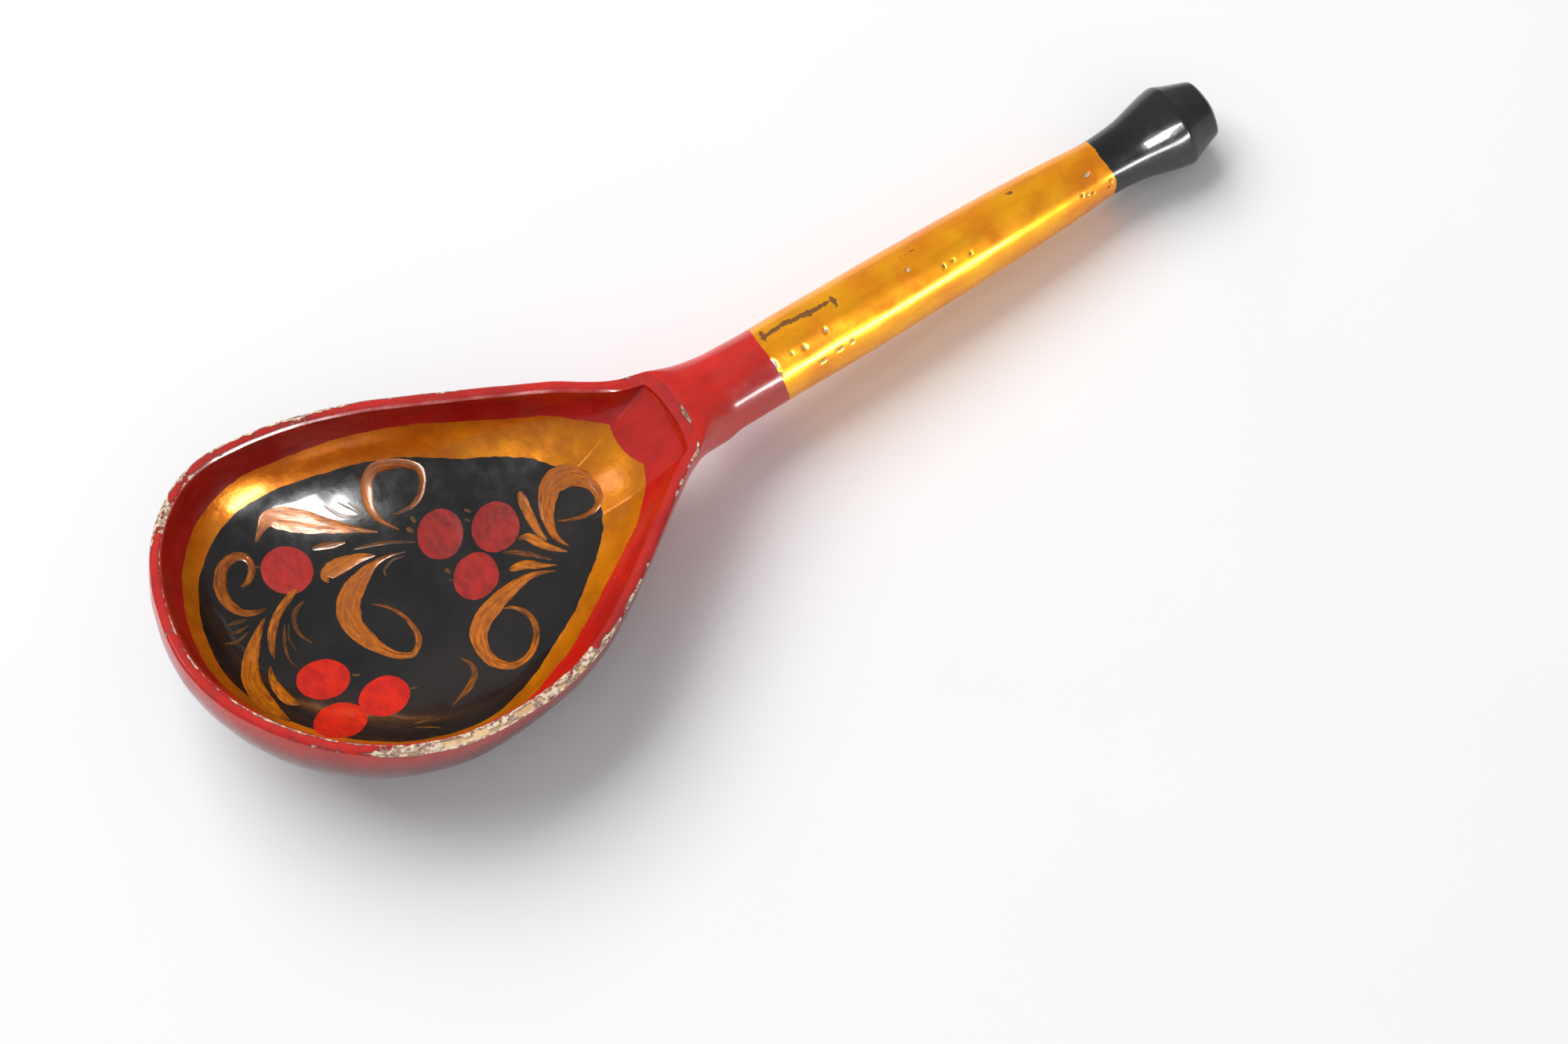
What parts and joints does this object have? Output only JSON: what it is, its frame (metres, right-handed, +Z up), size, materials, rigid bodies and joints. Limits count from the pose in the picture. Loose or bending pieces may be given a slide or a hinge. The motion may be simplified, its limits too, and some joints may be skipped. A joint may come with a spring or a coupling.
{
  "type": "painted wooden spoon",
  "caption": "Deep-bowled carved wooden spoon with a round gold handle, a faceted black finial and a lacquered bowl painted with berries and curling leaves.",
  "frame": {"origin": "on the ground under the middle of the spoon's outline, with the spoon lying bowl up on its bowl and finial", "axes": "+X from the bowl's tip to the finial, +Y to the left side, +Z up out of the bowl"},
  "size_m": [0.1986, 0.0697, 0.027],
  "materials": {
    "linden_wood": "bare carved linden, pale and slightly fuzzy, seen only where the lacquer has chipped",
    "red_lacquer": "oil lacquer, worn gloss",
    "red_band": "oil lacquer, worn gloss",
    "gold_border": "brushed metallic powder under amber lacquer",
    "black_lacquer": "high gloss oil lacquer",
    "gold_lacquer": "metallic powder under amber lacquer, lengthwise sheen",
    "finial_lacquer": "gloss oil lacquer, rubbed at the edges",
    "berry_paint": "brushed paint under lacquer",
    "ochre_paint": "thin brushed metallic paint, streaked",
    "stem_paint": "thin brushed metallic paint, streaked",
    "olive_paint": "thin see-through paint"
  },
  "bodies": {
    "root": {"wood_body": "linden_wood", "red_outer_coat": "red_lacquer", "red_inner_band": "red_band", "gold_border": "gold_border", "black_ground": "black_lacquer", "gold_handle_coat": "gold_lacquer", "black_finial_coat": "finial_lacquer", "left_berry": "berry_paint", "middle_berries": "berry_paint", "front_berries": "berry_paint", "leaf_strokes": "ochre_paint", "curl_strokes": "ochre_paint", "stem_strokes": "stem_paint", "fine_tendrils": "olive_paint"}
  },
  "joints": []
}
